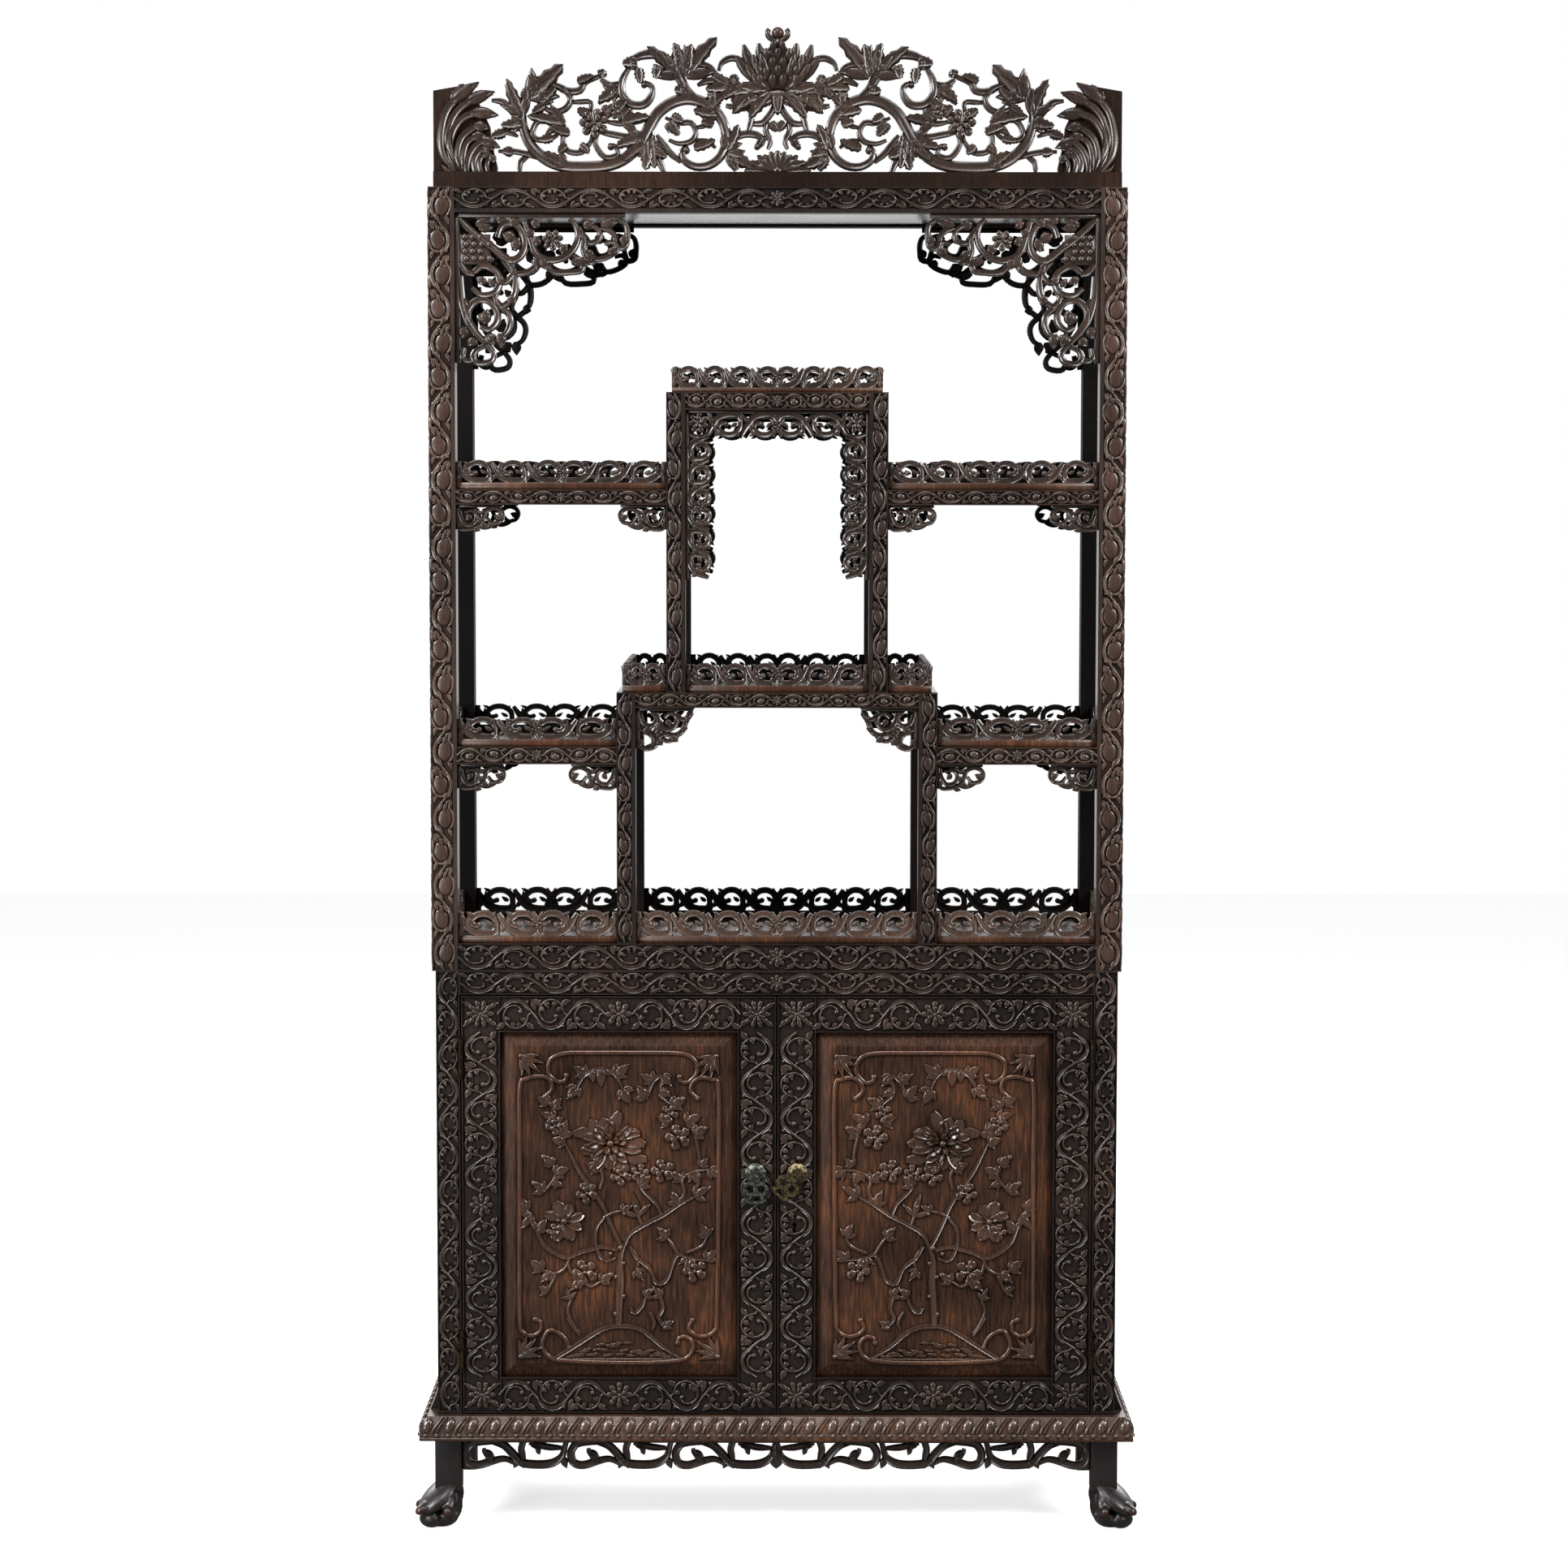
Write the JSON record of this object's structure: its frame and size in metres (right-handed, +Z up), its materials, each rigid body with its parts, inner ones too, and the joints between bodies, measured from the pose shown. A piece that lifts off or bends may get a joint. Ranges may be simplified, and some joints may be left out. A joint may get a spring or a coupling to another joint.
{
  "type": "chinese book cabinet",
  "caption": "Carved hardwood display and book cabinet: open stepped shelves with pierced galleries and cresting over a case with paneled doors, on a stand with paw feet.",
  "frame": {"origin": "on the floor under the middle of the cabinet's bounding box", "axes": "+X to the right seen from the front, +Y to the back, +Z up"},
  "size_m": [1.046, 0.381, 2.133],
  "materials": {
    "carved_wood": "polished, dark stain",
    "polished_wood": "polished, reddish",
    "dark_bronze": "dark patina",
    "worn_bronze": "worn patina",
    "brass_hardware": "aged"
  },
  "bodies": {
    "cabinet": {"front_left_leg": "carved_wood", "front_right_leg": "carved_wood", "rear_legs": "carved_wood", "front_apron": "carved_wood", "side_aprons": "carved_wood", "case_left_post": "carved_wood", "case_right_post": "carved_wood", "case_top_rail": "carved_wood", "case_left_side": "carved_wood", "case_right_side": "carved_wood", "case_back": "carved_wood", "case_top_board": "carved_wood", "case_shelf": "carved_wood", "left_front_post": "carved_wood", "right_front_post": "carved_wood", "left_rear_post": "carved_wood", "right_rear_post": "carved_wood", "front_top_rail": "carved_wood", "back_and_side_top_rails": "carved_wood", "front_bottom_rail": "carved_wood", "lower_box_posts": "carved_wood", "tower_posts": "carved_wood", "floor_gallery": "carved_wood", "lower_shelf_gallery": "carved_wood", "middle_gallery": "carved_wood", "upper_shelf_gallery": "carved_wood", "tower_gallery": "carved_wood", "corner_brackets": "carved_wood", "shelf_brackets": "carved_wood", "tower_frieze": "carved_wood", "cresting": "carved_wood", "plinth": "polished_wood", "top_board": "polished_wood", "floor_board": "polished_wood", "lower_side_shelves": "polished_wood", "middle_shelf": "polished_wood", "upper_side_shelves": "polished_wood", "tower_top": "polished_wood", "cresting_rail": "polished_wood", "hinge_case_leaves": "brass_hardware"},
    "left_door": {"left_door_hinge_stile": "carved_wood", "left_door_lock_stile": "carved_wood", "left_door_top_rail": "carved_wood", "left_door_bottom_rail": "carved_wood", "left_door_panel": "polished_wood", "left_door_hinge_leaves": "brass_hardware", "left_pull_boss": "dark_bronze"},
    "right_door": {"right_door_hinge_stile": "carved_wood", "right_door_lock_stile": "carved_wood", "right_door_top_rail": "carved_wood", "right_door_bottom_rail": "carved_wood", "right_door_panel": "polished_wood", "right_door_hinge_leaves": "brass_hardware", "right_pull_boss": "worn_bronze", "lock_case": "brass_hardware"},
    "lock_bolt": {"lock_bolt": "brass_hardware"},
    "left_pull_eye": {"left_pull_eye": "dark_bronze"},
    "left_pull_drop": {"left_pull_drop": "dark_bronze"},
    "right_pull_eye": {"right_pull_eye": "worn_bronze"},
    "right_pull_drop": {"right_pull_drop": "worn_bronze"}
  },
  "joints": [
    {"name": "left_door_hinge", "type": "hinge", "parent": "cabinet", "child": "left_door", "pos_m": [-0.452, -0.1635, 0.4675], "axis": [0, 0, -1], "range_deg": [0, 170]},
    {"name": "right_door_hinge", "type": "hinge", "parent": "cabinet", "child": "right_door", "pos_m": [0.452, -0.1635, 0.4675], "axis": [0, 0, 1], "range_deg": [0, 170]},
    {"name": "lock_bolt_slide", "type": "slide", "parent": "right_door", "child": "lock_bolt", "axis": [-1, 0, 0], "range_m": [0, 0.008]},
    {"name": "left_pull_swing", "type": "hinge", "parent": "left_door", "child": "left_pull_eye", "pos_m": [-0.03, -0.1595, 0.514], "axis": [0, 1, 0], "range_deg": [0, 90]},
    {"name": "left_pull_lift", "type": "hinge", "parent": "left_pull_eye", "child": "left_pull_drop", "pos_m": [-0.03, -0.1683, 0.514], "axis": [-1, 0, 0], "range_deg": [0, 90]},
    {"name": "right_pull_swing", "type": "hinge", "parent": "right_door", "child": "right_pull_eye", "pos_m": [0.03, -0.1595, 0.514], "axis": [0, -1, 0], "range_deg": [0, 130]},
    {"name": "right_pull_lift", "type": "hinge", "parent": "right_pull_eye", "child": "right_pull_drop", "pos_m": [0.03, -0.1683, 0.514], "axis": [-0.7431, 0, 0.6691], "range_deg": [0, 90]}
  ]
}
